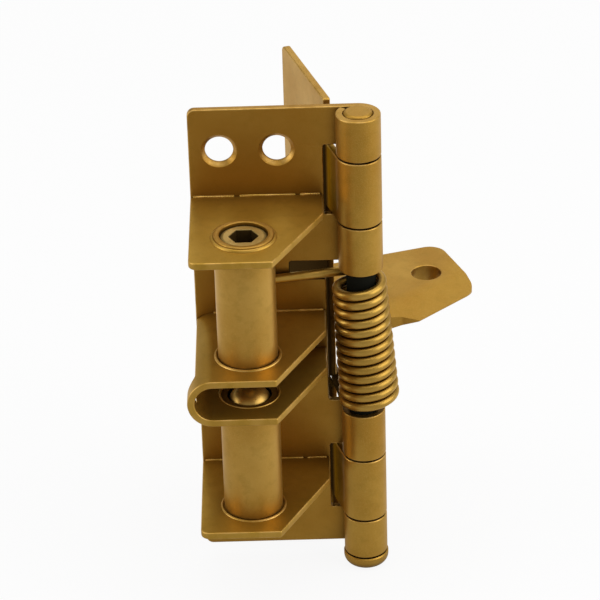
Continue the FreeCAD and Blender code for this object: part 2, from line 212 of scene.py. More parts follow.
def bronze_gold(name, light=PAINT_LIGHT, deep=PAINT_DEEP, roughness=0.42, metallic=0.9,
                peel=0.2, shade_reach=0.013, steel=BARE_STEEL_AND_SHADE):
    """Sprayed metallic paint: a cloudy, stained coat with fine flakes and a slight peel.

    It is darkened as painted shade in crevices and where a form is marked flat_painted_shade,
    and worn pale where it is marked worn_edge. What is marked bare takes the dark colour given as steel,
    for steel left without paint in some pieces and as painted shade in others.
    A finish with steel=None covers all of its form.
    """
    paint = bpy.data.materials.new(name)
    paint.use_nodes = True
    nodes = paint.node_tree.nodes
    links = paint.node_tree.links
    shader = nodes["Principled BSDF"]
    place = nodes.new("ShaderNodeTexCoord")

    def noise(scale, detail):
        texture = nodes.new("ShaderNodeTexNoise")
        texture.inputs["Scale"].default_value = scale
        texture.inputs["Detail"].default_value = detail
        links.new(place.outputs["Object"], texture.inputs["Vector"])
        return texture.outputs["Fac"]

    def ramp(value, low, high, out_low=0.0, out_high=1.0):
        scaled = nodes.new("ShaderNodeMapRange")
        links.new(value, scaled.inputs["Value"])
        ends = {"From Min": low, "From Max": high, "To Min": out_low, "To Max": out_high}
        for socket, number in ends.items():
            scaled.inputs[socket].default_value = number
        return scaled.outputs["Result"]

    def blend(share, first, second):
        mixed = nodes.new("ShaderNodeMix")
        mixed.data_type = "RGBA"
        links.new(share, mixed.inputs["Factor"])
        for socket, colour in ((mixed.inputs[6], first), (mixed.inputs[7], second)):
            if isinstance(colour, tuple):
                socket.default_value = colour
            else:
                links.new(colour, socket)
        return mixed.outputs[2]

    def marked(attribute):
        mark = nodes.new("ShaderNodeAttribute")
        mark.attribute_name = attribute
        return mark.outputs["Fac"]

    clouds = noise(scale=55, detail=4)
    coat = blend(ramp(clouds, 0.36, 0.64), deep, light)
    stains = ramp(noise(scale=380, detail=6), 0.5, 0.68, 0, 0.22)
    coat = blend(stains, coat, STAIN)
    # Painted shade on the flat of the fixed leaf.
    flat_shade = ramp(marked("flat_painted_shade"), 0, 1, 0, 0.54)
    coat = blend(flat_shade, coat, FLAT_SHADE_COLOUR)
    flakes = ramp(noise(scale=6500, detail=1), 0.5, 0.75, 0, 0.4)
    coat = blend(flakes, coat, PAINT_WORN)
    # Painted shade: the coat darkens where ambient occlusion finds a crevice or corner close by.
    occlusion = nodes.new("ShaderNodeAmbientOcclusion")
    occlusion.samples = 8
    occlusion.inputs["Distance"].default_value = shade_reach
    coat = blend(ramp(occlusion.outputs["AO"], 0.15, 0.75), CREVICE_SHADE, coat)
    chips = nodes.new("ShaderNodeMath")
    chips.operation = "MULTIPLY"
    links.new(marked("worn_edge"), chips.inputs[0])
    links.new(ramp(noise(scale=260, detail=5), 0.38, 0.62, 0.15, 0.9), chips.inputs[1])
    coat = blend(chips.outputs[0], coat, PAINT_WORN)
    # The dark colour marks steel left without paint and painted shade; both also dull the grazing
    # reflection.
    if steel:
        bare_and_shade = marked("bare_and_shade")
        dull = ramp(bare_and_shade, 0, 0.1)
        coat = blend(bare_and_shade, coat, steel)
        links.new(ramp(bare_and_shade, 0.2, 1, metallic, 0), shader.inputs["Metallic"])
        links.new(ramp(bare_and_shade, 0, 0.1, 0.5, 0), shader.inputs["Specular IOR Level"])
        links.new(blend(dull, PAINT_SHEEN, BARE_AND_SHADE_SHEEN), shader.inputs["Specular Tint"])
    else:
        shader.inputs["Metallic"].default_value = metallic
        shader.inputs["Specular Tint"].default_value = PAINT_SHEEN
    links.new(coat, shader.inputs["Base Color"])
    gloss = ramp(clouds, 0.25, 0.75, roughness + GLOSS_RANGE, roughness - GLOSS_RANGE)
    links.new(gloss, shader.inputs["Roughness"])
    skin = nodes.new("ShaderNodeBump")
    skin.inputs["Strength"].default_value = peel
    skin.inputs["Distance"].default_value = PEEL_DEPTH
    links.new(noise(scale=1400, detail=3), skin.inputs["Height"])
    links.new(skin.outputs["Normal"], shader.inputs["Normal"])
    return paint


def add_piece(name, form, finish, slot, node, body, *blend_span):
    """Sets a form, drawn in millimetres from the pin's axis, into the frame for its plain node."""
    form.transform(Matrix.Scale(MM, 4) @ Matrix.Translation((PIN_X, PIN_Y, 0)))
    bmesh.ops.recalc_face_normals(form, faces=form.faces)
    mesh = bpy.data.meshes.new(name)
    form.to_mesh(mesh)
    form.free()
    mesh.polygons.foreach_set("use_smooth", [True] * len(mesh.polygons))
    mesh.set_sharp_from_angle(angle=SHARP_FOLD)
    mesh.materials.append(finish)
    piece = bpy.data.objects.new(name, mesh)
    bpy.context.scene.collection.objects.link(piece)
    piece.modifiers.new("even_faces", "WEIGHTED_NORMAL").keep_sharp = True
    if blend_span:
        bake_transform(piece, *body, *blend_span)
    else:
        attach(piece, body)
    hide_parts(node)


def slot_corners(side):
    """The slot for a swinging knuckle, from below, with room at its outer end in the flat sheet."""
    inner = side * (SWING_LOW - KNUCKLE_GAP)
    outer = side * (SWING_HIGH + KNUCKLE_GAP)
    end = outer + side * SLOT_ROOM
    corners = [(FINGER, inner, 0), (-SLOT, inner, PUNCH_R), (-SLOT, end, PUNCH_R),
               (-SLOT_STEP, end, 0), (-SLOT_STEP, outer, 0), (FINGER, outer, 0)]
    return corners[::side]


sheet_paint = bronze_gold("sheet_paint")
fixed_holes = [(-x, z) for x in (HOLE_NEAR, HOLE_FAR) for z in (FIXED_HOLE_Z, -FIXED_HOLE_Z)]
slit_low = LEG_Z - SPRING_WIRE / 2 - LEG_PLAY
fixed_outline = outline([
    (-FIXED_W, -TOP, CORNER_R), (FINGER, -TOP, 0), *slot_corners(-1),
    (FINGER, -WINDOW, 0), (-SLOT, -WINDOW, WINDOW_R),
    (-SLOT, slit_low, PUNCH_R), (-SLIT_END, slit_low, PUNCH_R), (-SLIT_END, WINDOW, PUNCH_R),
    (FINGER, WINDOW, 0), *slot_corners(1), (FINGER, TOP, 0), (-FIXED_W, TOP, CORNER_R),
])
fixed_form = cut_sheet([fixed_outline] + [round_hole(x, z, HOLE_R) for x, z in fixed_holes], SHEET)
countersink(fixed_form, fixed_holes)
# Marks the flat of the fixed leaf for painted shade, from just beyond its fold outwards.
for flat_edge in (FLAT_SHADE_FROM, FLAT_SHADE_TO):
    score(fixed_form, (-flat_edge, 0, 0), (1, 0, 0))
flat_painted_shade = fixed_form.verts.layers.float.new("flat_painted_shade")
bare_and_shade = fixed_form.verts.layers.float.new("bare_and_shade")
for vert in fixed_form.verts:
    along, height, out = vert.co
    on_flat = min(max((-FLAT_SHADE_FROM - along) / (FLAT_SHADE_TO - FLAT_SHADE_FROM), 0), 1)
    vert[flat_painted_shade] = on_flat * (FLAT_SHADE_MID + FLAT_SHADE_RISE * height / TOP)
    # The walls of the slit for the spring's leg take the dark colour as painted shade.
    at_slit = -SLIT_END - SLIT_RIM < along < -SLOT - SLIT_RIM
    in_slit = at_slit and slit_low - SLIT_RIM < height < WINDOW + SLIT_RIM
    vert[bare_and_shade] = 1.0 if in_slit and abs(out) < SHEET / 2 - HAIR else 0.0
roll_fingers(fixed_form)
add_piece("fixed_leaf_sheet", fixed_form, sheet_paint, "painted_sheet", "fixed_leaf", "fixed_side")

# Flanges: two flat plates of the same sheet, welded square to the fixed leaf, that hold the tubes' ends.
# Their corner by the pin is cut off at a slant, so that the swinging leaf can pass.
# A thin bead of weld shows pale through the paint along the leaf and round the tubes.
LEVELS = (("upper", 1), ("lower", -1))
FLANGE_Z = 42.8
FRONT = -33.35
FLANGE_SIDE = -9.9
FLANGE_STEP = -7.25
FLANGE_NOSE = -23.5
FLANGE_R = 2.5
TUBE_X = -31.0
TUBE_Y = -19.3
TUBE_R = 8.05
WIRE_SIDES = 16
WELD_R = 8.7
BEAD = 0.36
BEAD_SIDES = 8
RING_STEP = 0.08
COLLAR_R = 8.25
COLLAR_BEAD = 0.6
COLLAR_WEAR = 0.3
SEAM_STEPS = 60
SEAM_SINK = 0.05
SEAM_WAVER = 0.06
SEAM_RIPPLES = 9
WELD_RUNS = ((-44.8, -33.6), (-32.2, -17.2), (-15.8, -10.6))


def drawn_wire(path, radius, sides=WIRE_SIDES, form=None, worn=1.0):
    """A round wire along a path, its ends cut square, alone or added to another form."""
    form = form or bmesh.new()
    rings = []
    across = None
    for i, here in enumerate(path):
        ahead = (path[min(i + 1, len(path) - 1)] - path[max(i - 1, 0)]).normalized()
        across = ahead.orthogonal() if across is None else across
        across = (across - ahead * across.dot(ahead)).normalized()
        other = ahead.cross(across)
        ring = []
        for k in range(sides):
            angle = math.tau * k / sides
            outward = across * math.cos(angle) + other * math.sin(angle)
            ring.append(form.verts.new(here + radius * outward))
        rings.append(ring)
    for first, second in zip(rings, rings[1:]):
        for k in range(sides):
            m = (k + 1) % sides
            form.faces.new((first[k], first[m], second[m], second[k]))
    form.faces.new(rings[0][::-1])
    form.faces.new(rings[-1])
    worn_edge = form.verts.layers.float.get("worn_edge")
    if worn_edge is not None:
        for ring in rings:
            for vert in ring:
                vert[worn_edge] = worn
    return form


def weld_ring(form, z, radius=WELD_R, bead=BEAD, worn=1.0):
    """A bead round a tube, half sunk in the face it lies on."""
    ring = arc_points(TUBE_X, TUBE_Y, radius, 0, math.tau, RING_STEP)
    drawn_wire([Vector((*p, z)) for p in ring], bead, BEAD_SIDES, form, worn)


def weld_seam(form, x_from, x_to, z):
    """A slightly wavering bead in the corner between a plate and the leaf."""
    run = []
    for i in range(SEAM_STEPS + 1):
        x = x_from + (x_to - x_from) * i / SEAM_STEPS
        run.append(Vector((x, KNUCKLE_IN - SEAM_SINK + SEAM_WAVER * math.sin(SEAM_RIPPLES * x), z)))
    drawn_wire(run, BEAD, BEAD_SIDES, form)


# A lighter copy of the same spray: the extra lightness on the flanges is painted light.
flange_paint = bronze_gold("flange_paint", (0.54, 0.325, 0.047, 1), (0.44, 0.25, 0.027, 1), steel=None)
flange_outline = outline([
    (-FIXED_W, KNUCKLE_IN, 0), (-FIXED_W, FRONT, FLANGE_R), (FLANGE_NOSE, FRONT, PUNCH_R),
    (FLANGE_SIDE, FLANGE_STEP, PUNCH_R), (FLANGE_SIDE, KNUCKLE_IN, 0),
])
for level, side in LEVELS:
    flange_form = cut_sheet([flange_outline, round_hole(TUBE_X, TUBE_Y, TUBE_R - CUT_EDGE)], SHEET)
    flange_form.transform(Matrix.Translation((0, 0, side * (FLANGE_Z - SHEET / 2))))
    weld_ring(flange_form, side * (FLANGE_Z - SHEET))
    weld_ring(flange_form, side * FLANGE_Z, COLLAR_R, COLLAR_BEAD, COLLAR_WEAR)
    for run_from, run_to in WELD_RUNS:
        for face_z in (FLANGE_Z, FLANGE_Z - SHEET):
            weld_seam(flange_form, run_from, run_to, side * face_z)
    add_piece(level + "_flange_plate", flange_form, flange_paint, "painted_sheet",
              level + "_flange", "fixed_side")

# Fork: one strip of sheet bent into a U that the tongue turns into, welded to the leaf and the tubes.
# Most of the bow is cut away along the leaf's edge, and only a bridge at the front joins the two legs.
FORK_MID = 5.9
BOW_X = -40.5
BOW_STEPS = 36
BRIDGE = 5.0
BRIDGE_R = 2
LIP_X = 4.75
FORK_BEAD = 0.45
RIM_R = TUBE_R + 0.1
RIM_BEAD = 0.22
SEAM_STOP = 0.5
bow_length = math.pi * FORK_MID
lip = FORK_MID * math.asin(LIP_X / FORK_MID)
leg_end = FLANGE_SIDE - BOW_X
leg_nose = FLANGE_NOSE - BOW_X
tube_along = TUBE_X - BOW_X
fork_outline = outline([
    (-leg_end, KNUCKLE_IN, 0), (-leg_end, FLANGE_STEP, PUNCH_R), (-leg_nose, FRONT, PUNCH_R),
    (bow_length + leg_nose, FRONT, PUNCH_R), (bow_length + leg_end, FLANGE_STEP, PUNCH_R),
    (bow_length + leg_end, KNUCKLE_IN, 0), (bow_length - lip, KNUCKLE_IN, 0),
    (bow_length - lip, FRONT + BRIDGE, BRIDGE_R), (lip, FRONT + BRIDGE, BRIDGE_R), (lip, KNUCKLE_IN, 0),
])
fork_form = cut_sheet([
    fork_outline,
    round_hole(-tube_along, TUBE_Y, TUBE_R - CUT_EDGE),
    round_hole(bow_length + tube_along, TUBE_Y, TUBE_R - CUT_EDGE),
], SHEET)
for i in range(BOW_STEPS + 1):
    score(fork_form, (bow_length * i / BOW_STEPS, 0, 0), (1, 0, 0))
for vert in fork_form.verts:
    along, across, out = vert.co
    if along < 0:
        vert.co = (BOW_X - along, across, FORK_MID + out)
        continue
    if along > bow_length:
        vert.co = (BOW_X + along - bow_length, across, -FORK_MID - out)
        continue
    from_leg = min(along, bow_length - along)
    upright = min(max((across - FRONT - BRIDGE) / BRIDGE_R, 0), 1) * min(from_leg / lip, 1)
    full_turn = math.asin(min(LIP_X / (FORK_MID + out), 1))
    turn = from_leg / FORK_MID + upright * (full_turn - lip / FORK_MID)
    leg_side = 1 if along < bow_length / 2 else -1
    height = leg_side * (FORK_MID + out) * math.cos(turn)
    vert.co = (BOW_X - (FORK_MID + out) * math.sin(turn), across, height)
for side in (1, -1):
    weld_ring(fork_form, side * (FORK_MID + SHEET / 2), WELD_R, FORK_BEAD)
    weld_ring(fork_form, side * (FORK_MID - SHEET / 2), RIM_R, RIM_BEAD)
    weld_seam(fork_form, BOW_X, FLANGE_SIDE - SEAM_STOP, side * (FORK_MID + SHEET / 2))
# A lighter copy of the same spray: the extra lightness on the fork is painted light.
fork_paint = bronze_gold("fork_paint", (0.53, 0.31, 0.047, 1), (0.43, 0.24, 0.027, 1),
                         shade_reach=0.009, steel=None)
add_piece("fork_sheet", fork_form, fork_paint, "painted_sheet", "fork_bracket", "fixed_side")

# Tubes: two lengths of drawn steel tube, welded into the fork and the flanges, and just proud of these.
# The end in the fork is closed in a little, so that the ball inside can't fall out.
TUBE_END = 5.3
TUBE_TOP = 43.8
TUBE_CHAMFER = 0.25
TUBE_ROUND = 0.4
BORE_R = 6.45
BORE_SHADE = 0.2
LIP_Z = 7.75
LIP_R = 6.05
LIP_SHADE = 0.8
LIP_CURVE = (0.0, 0.13, 0.26, 0.38)


def turned(profile, closed=True, segments=112):
    """A piece turned on a lathe from (radius, z), or (radius, z, darkening) with a share of dark colour.

    The dark colour stands for steel left without paint in some pieces and for painted shade in others.
    A radius may be a function of the angle, as in a hexagon socket.
    """
    form = bmesh.new()
    bare_and_shade = form.verts.layers.float.new("bare_and_shade")
    rings = []
    for radius, z, *darkening in profile:
        ring = []
        for i in range(segments):
            angle = math.tau * i / segments
            r = radius(angle) if callable(radius) else radius
            vert = form.verts.new((r * math.cos(angle), r * math.sin(angle), z))
            vert[bare_and_shade] = darkening[0] if darkening else 0.0
            ring.append(vert)
        rings.append(ring)
    following = rings[1:] + rings[:1] if closed else rings[1:]
    for low, high in zip(rings, following):
        for i in range(segments):
            j = (i + 1) % segments
            form.faces.new((low[i], low[j], high[j], high[i]))
    if not closed:
        form.faces.new(rings[0][::-1])
        form.faces.new(rings[-1])
    return form


def stand_in_tube(form, side):
    """Moves a form drawn upright round z onto the tubes' axis, turned over for the lower tube."""
    form.transform(Matrix.Translation((TUBE_X, TUBE_Y, 0)) @ Matrix.Diagonal((1, 1, side, 1)))


# A lighter copy of the same spray: the extra lightness on the tubes is painted light.
tube_paint = bronze_gold("tube_paint", (0.56, 0.325, 0.066, 1), (0.48, 0.262, 0.042, 1), roughness=0.38)
# The closed-in lip round the ball and the top of the bore are darkened as painted shade.
tube_profile = [(BORE_R * math.cos(a), LIP_Z - BORE_R * math.sin(a), LIP_SHADE) for a in LIP_CURVE]
tube_profile += [
    (LIP_R, TUBE_END), (TUBE_R - TUBE_CHAMFER, TUBE_END), (TUBE_R, TUBE_END + TUBE_CHAMFER),
    (TUBE_R, TUBE_TOP - TUBE_ROUND), (TUBE_R - 0.3 * TUBE_ROUND, TUBE_TOP - 0.3 * TUBE_ROUND),
    (TUBE_R - TUBE_ROUND, TUBE_TOP), (BORE_R + TUBE_CHAMFER, TUBE_TOP),
    (BORE_R + 0.07, TUBE_TOP - 0.08), (BORE_R, TUBE_TOP - TUBE_CHAMFER, BORE_SHADE),
]
for level, side in LEVELS:
    tube_form = turned(tube_profile)
    stand_in_tube(tube_form, side)
    add_piece(level + "_tube_turned", tube_form, tube_paint, "painted_tube",
              level + "_tube", "fixed_side")

# Swinging leaf: a second blank, the other hand, its two knuckles between those of the fixed leaf.
# It is cut back round the fixed knuckles and the spring, and screwed to the door.
# Its face close behind the fixed leaf, seen through the slots, is darkened as painted shade.
SWING_W = 47.6
SWING_REST = math.radians(17.3)
SWING_HOLE_Z = 38
NOTCH = 11.0
# Painted shade on the face behind the fixed leaf: its share by distance from the pin, fading above a
# slanting line.
PAINTED_SHADE_SHARES = ((0.5, 0), (2, 0.1), (8, 0.15), (10.5, 1), (SWING_W, 1))
SHADE_TOP = 74.0
SHADE_SLANT = 0.9
SHADE_FADE = 9.0
LOW_LEG_Z = -18.555
LOW_LEG_SINK = -0.443
swing_holes = [(-x, z) for x in (HOLE_NEAR, HOLE_FAR) for z in (SWING_HOLE_Z, -SWING_HOLE_Z)]
knuckle_far = SWING_HIGH - KNUCKLE_GAP
knuckle_near = SWING_LOW + KNUCKLE_GAP
leg_room = SPRING_WIRE / 2 + LEG_PLAY
leg_below = LOW_LEG_Z + LOW_LEG_SINK - leg_room
leg_above = LOW_LEG_Z + LOW_LEG_SINK + leg_room
swing_outline = outline([
    (-SWING_W, -TOP, CORNER_R), (-NOTCH, -TOP, PUNCH_R), (-NOTCH, -knuckle_far, PUNCH_R),
    (FINGER, -knuckle_far, 0), (FINGER, -knuckle_near, 0), (-NOTCH, -knuckle_near, PUNCH_R),
    (-NOTCH, leg_below, PUNCH_R), (-SLIT_END, leg_below, PUNCH_R),
    (-SLIT_END, leg_above, PUNCH_R), (-NOTCH, leg_above, PUNCH_R),
    (-NOTCH, knuckle_near, PUNCH_R), (FINGER, knuckle_near, 0), (FINGER, knuckle_far, 0),
    (-NOTCH, knuckle_far, PUNCH_R), (-NOTCH, TOP, PUNCH_R), (-SWING_W, TOP, CORNER_R),
])
swing_form = cut_sheet([swing_outline] + [round_hole(x, z, HOLE_R) for x, z in swing_holes], SHEET)
countersink(swing_form, swing_holes)
for from_pin, _ in PAINTED_SHADE_SHARES:
    score(swing_form, (-from_pin, 0, 0), (1, 0, 0))
for side in (1, -1):
    for shade_end in (SHADE_TOP, SHADE_TOP - SHADE_FADE):
        score(swing_form, (0, side * shade_end, 0), (-side * SHADE_SLANT, 1, 0))
bare_and_shade = swing_form.verts.layers.float.new("bare_and_shade")
for vert in swing_form.verts:
    along, height, out = vert.co
    under = min(max((SHADE_TOP + SHADE_SLANT * along - abs(height)) / SHADE_FADE, 0), 1)
    for (near, near_share), (far, far_share) in zip(PAINTED_SHADE_SHARES, PAINTED_SHADE_SHARES[1:]):
        if near <= -along <= far and out > 0:
            vert[bare_and_shade] = under * (near_share + (far_share - near_share) * (-along - near) / (far - near))
roll_fingers(swing_form)
other_hand = Matrix(((0, -1, 0, 0), (-1, 0, 0, 0), (0, 0, 1, 0), (0, 0, 0, 1)))
swing_turn = Matrix.Rotation(SWING_REST, 4, "Z")
swing_form.transform(swing_turn @ other_hand)
add_piece("swing_leaf_sheet", swing_form, sheet_paint, "painted_sheet", "swing_leaf", "swing_side")

# Tongue: a 5 mm plate welded to the swinging leaf, with the hole that the balls snap into.
# It is hollowed to go round the spring.
# Its leading edge is ground from both sides to a wedge that parts the balls.
TONGUE = 5.0
SPRING_ROOM = 8.9
TONGUE_REACH = 36.4
TONGUE_FAR = 38.7
FAR_R = 5
TONGUE_ROOT = (13.3, 4.8)
ROOT_R = 3
TIP = Vector((17.65, 3.15, 0))
TIP_R = 0.4
NEAR_CORNER = Vector((38.3, 13.4, 0))
NEAR_R = 6
NOSE_W = 7.0
NOSE_LAND = 0.4
CATCH_R = 36.517
CATCH_ANGLE = math.radians(41.5)
CATCH_HOLE_R = 4.15
hollow_from = math.acos(-KNUCKLE_IN / SPRING_ROOM)
hollow_to = math.asin(TONGUE_ROOT[1] / SPRING_ROOM)
hollow = arc_points(0, 0, SPRING_ROOM, hollow_from, hollow_to - hollow_from)
tongue_corners = outline([
    (SPRING_ROOM * math.cos(hollow_to), TONGUE_ROOT[1], 0), (*TONGUE_ROOT, ROOT_R),
    (TIP.x, TIP.y, TIP_R), (NEAR_CORNER.x, NEAR_CORNER.y, NEAR_R),
    (TONGUE_REACH, TONGUE_FAR, FAR_R), (-KNUCKLE_IN, TONGUE_FAR, 0),
])
catch_hole = round_hole(CATCH_R * math.cos(CATCH_ANGLE), CATCH_R * math.sin(CATCH_ANGLE), CATCH_HOLE_R)
tongue_form = cut_sheet([hollow[:-1] + tongue_corners, catch_hole], TONGUE)
lead = (NEAR_CORNER - TIP).normalized()
inward = Vector((-lead.y, lead.x, 0))
for side in (1, -1):
    slope = Vector((0, 0, side * NOSE_W)) - inward * (TONGUE - NOSE_LAND) / 2
    ground = score(tongue_form, TIP + Vector((0, 0, side * NOSE_LAND / 2)), slope, clear_outer=True)
    for vert in [v for v in ground["geom_cut"] if isinstance(v, bmesh.types.BMVert)]:
        vert[tongue_form.verts.layers.float["worn_edge"]] = 0.0
    rim = [e for e in ground["geom_cut"] if isinstance(e, bmesh.types.BMEdge)]
    bmesh.ops.edgeloop_fill(tongue_form, edges=rim)
tongue_form.transform(swing_turn)
add_piece("tongue_plate", tongue_form, sheet_paint, "painted_sheet", "detent_tongue", "swing_side")

# Torsion spring: close-wound wire round the pin between the inner knuckles, pushed askew by its legs.
# Each straight leg goes through a slit and bears on the far side of its leaf, to swing the door shut.
# The lower leg, seen between the leaves, is darkened as painted shade.
COIL_R = 6.25
COIL_SPREAD = 0.85
COIL_PITCH = 2.88
COIL_TURNS = 13
COIL_STEPS = 560
COIL_LEAN = math.radians(3.6)
COIL_SHIFT = 0.55
LEG_TAIL = 7.0
LEG_CLEAR = 0.05
SHADED_LEG_TO = 0.1
TOP_LEG_ANGLE = math.radians(100.82)
LOW_LEG_ANGLE = math.radians(186.48)
TWIST_IN = 2


def leg_tip(start, slit_end, side):
    """The end of a straight leg that passes beside the end of its slit."""
    to_slit = Vector((slit_end.x - start.x, slit_end.y - start.y, 0))
    clear = math.asin((SPRING_WIRE / 2 + LEG_CLEAR) / to_slit.length)
    heading = Matrix.Rotation(side * clear, 3, "Z") @ to_slit.normalized()
    return start + heading * (to_slit.length + LEG_TAIL)


coil_turn = TOP_LEG_ANGLE - LOW_LEG_ANGLE + COIL_TURNS * math.tau
coil_path = []
for i in range(COIL_STEPS + 1):
    angle = LOW_LEG_ANGLE + coil_turn * i / COIL_STEPS
    radius = COIL_R + COIL_SPREAD * (1 - i / COIL_STEPS)
    height = LEG_Z - coil_turn / math.tau * COIL_PITCH * (1 - i / COIL_STEPS)
    point = Vector((radius * math.cos(angle), radius * math.sin(angle), height))
    coil_path.append(Matrix.Rotation(-COIL_LEAN, 3, "Y") @ point + Vector((COIL_SHIFT, 0, 0)))
low_tip = leg_tip(coil_path[0], swing_turn @ Vector((-KNUCKLE_IN, SLIT_END, 0)), -1)
top_tip = leg_tip(coil_path[-1], Vector((-SLIT_END, KNUCKLE_IN, 0)), 1)
# The lower leg takes the dark colour as painted shade, fading out just before the coil.
shaded_leg = [low_tip, coil_path[0].lerp(low_tip, SHADED_LEG_TO)]
spring_form = drawn_wire(shaded_leg + coil_path + [top_tip], SPRING_WIRE / 2)
bare_and_shade = spring_form.verts.layers.float.new("bare_and_shade")
spring_form.verts.ensure_lookup_table()
for vert in spring_form.verts[:len(shaded_leg) * WIRE_SIDES]:
    vert[bare_and_shade] = 1.0
spring_finish = bronze_gold("spring_wire_finish", (0.52, 0.315, 0.062, 1), (0.44, 0.25, 0.04, 1),
                            roughness=0.36, peel=0.1, shade_reach=0.0015)
pin_top = Vector((PIN_X, PIN_Y, LEG_Z - TWIST_IN)) * MM
pin_low = Vector((PIN_X, PIN_Y, LOW_LEG_Z + TWIST_IN)) * MM
add_piece("torsion_spring_wire", spring_form, spring_finish, "spring_wire", "torsion_spring",
          ("fixed_side", "swing_side"), pin_top, pin_low)

# Hinge pin: 8 mm steel rod pushed up through all six knuckles, with a rounded head below.
# Only its two ends are painted; its middle, seen inside the spring, is steel left without paint,
# made near black as painted shade.
PIN_R = 4.0
PIN_TOP = TOP + 0.5
# Top edge as inset, drop and dark share; the dark at its foot is painted shade round the pin.
PIN_EDGE = ((0, 0.72, 0.6), (0.25, 0.3, 0), (0.6, 0.06, 0), (1.0, 0, 0))
SPRAY_DEPTH = 0.9
HEAD_R = 6.3
HEAD_TOP = -69.1
HEAD_LOW = -73.0
HEAD_ROUND = 2.6
HEAD_EDGE = 0.3
HEAD_NECK = 0.2
PIN_STEEL_AND_SHADE = (0.012, 0.012, 0.009, 1)
pin_profile = []
for degrees in range(-90, 1, 10):
    a = math.radians(degrees)
    rim = HEAD_R - HEAD_ROUND + HEAD_ROUND * math.cos(a)
    pin_profile.append((rim, HEAD_LOW + HEAD_ROUND + HEAD_ROUND * math.sin(a)))
pin_profile += [
    (HEAD_R, HEAD_TOP - HEAD_EDGE), (HEAD_R - HEAD_EDGE, HEAD_TOP),
    (PIN_R + HEAD_NECK, HEAD_TOP), (PIN_R, HEAD_TOP + HEAD_NECK, 1.0),
    (PIN_R, TOP - SPRAY_DEPTH, 1.0),
]
pin_profile += [(PIN_R - inset, PIN_TOP - drop, darkening) for inset, drop, darkening in PIN_EDGE]
pin_paint = bronze_gold("pin_paint", steel=PIN_STEEL_AND_SHADE)
pin_form = turned(pin_profile, closed=False)
add_piece("hinge_pin_rod", pin_form, pin_paint, "pin", "hinge_pin", "fixed_side")

# Balls: one hard steel bearing ball in each tube, standing out into the fork through the closed-in end.
# They snap into the tongue's hole from both sides and hold the door open.
BALL_R = 6.35
BALL_Z = 9.15
BALL_STEP = 3
BALL_SEGMENTS = 96
ball_arc = [math.radians(a) for a in range(BALL_STEP - 90, 90, BALL_STEP)]
ball_profile = [(BALL_R * math.cos(a), BALL_Z + BALL_R * math.sin(a)) for a in ball_arc]
ball_finish = bronze_gold("ball_finish", (0.64, 0.42, 0.13, 1), (0.54, 0.33, 0.08, 1),
                          roughness=0.31, metallic=0.95, peel=0.03, shade_reach=0.002, steel=None)
for level, side in LEVELS:
    ball_form = turned(ball_profile, closed=False, segments=BALL_SEGMENTS)
    stand_in_tube(ball_form, side)
    add_piece(level + "_bearing_ball", ball_form, ball_finish, "ball", level + "_ball", level + "_ball")

# Detent springs: a short stiff coil of 1.7 mm wire in each tube, between the ball and the set screw.
# It is only laid in, and its outer end stays on the screw when the ball is pushed back.
DETENT_WIRE = 1.7
DETENT_SIDES = 12
DETENT_R = 4.7
DETENT_LOW = 14.654
DETENT_TURNS = 5.5
DETENT_STEPS = 220
SCREW_END = 33.1
SEAT_GAP = 0.05
detent_height = SCREW_END - DETENT_WIRE / 2 - SEAT_GAP - DETENT_LOW
detent_path = []
for i in range(DETENT_STEPS + 1):
    angle = math.tau * DETENT_TURNS * i / DETENT_STEPS
    height = DETENT_LOW + detent_height * i / DETENT_STEPS
    detent_path.append(Vector((DETENT_R * math.cos(angle), DETENT_R * math.sin(angle), height)))
tube_axis = Vector((PIN_X + TUBE_X, PIN_Y + TUBE_Y, 0))
for level, side in LEVELS:
    detent_form = drawn_wire(detent_path, DETENT_WIRE / 2, DETENT_SIDES)
    stand_in_tube(detent_form, side)
    screw_seat = (tube_axis + Vector((0, 0, side * SCREW_END))) * MM
    ball_seat = (tube_axis + Vector((0, 0, side * DETENT_LOW))) * MM
    add_piece(level + "_detent_coil", detent_form, spring_finish, "spring_wire", level + "_detent_spring",
              ("fixed_side", level + "_ball"), screw_seat, ball_seat)

# Adjusting screws: a steel set screw in the outer end of each tube, just below its rim.
# It is turned with a key in its hexagon socket, and sets how hard the balls hold the tongue.
# Its face is sprayed with the rest; the socket and the gap round the face are darkened as painted shade.
SCREW_TOP = 43.1
SCREW_R = 6.4
SCREW_CHAMFER = 0.5
SPRAY_STOP = 1.2
FACE_R = 5.45
FACE_DROP = 0.4
SOCKET_AF = 6.8
SOCKET_MOUTH = 0.4
SOCKET_FLOOR = 37.6
DRILL_TIP = 1.2
DRILL_R = 0.4
SCREW_SEGMENTS = 96


def hexagon(across_flats):
    """The radius of a hexagon by angle, with a corner at angle 0."""
    return lambda angle: across_flats / 2 / math.cos(angle % (math.pi / 3) - math.pi / 6)


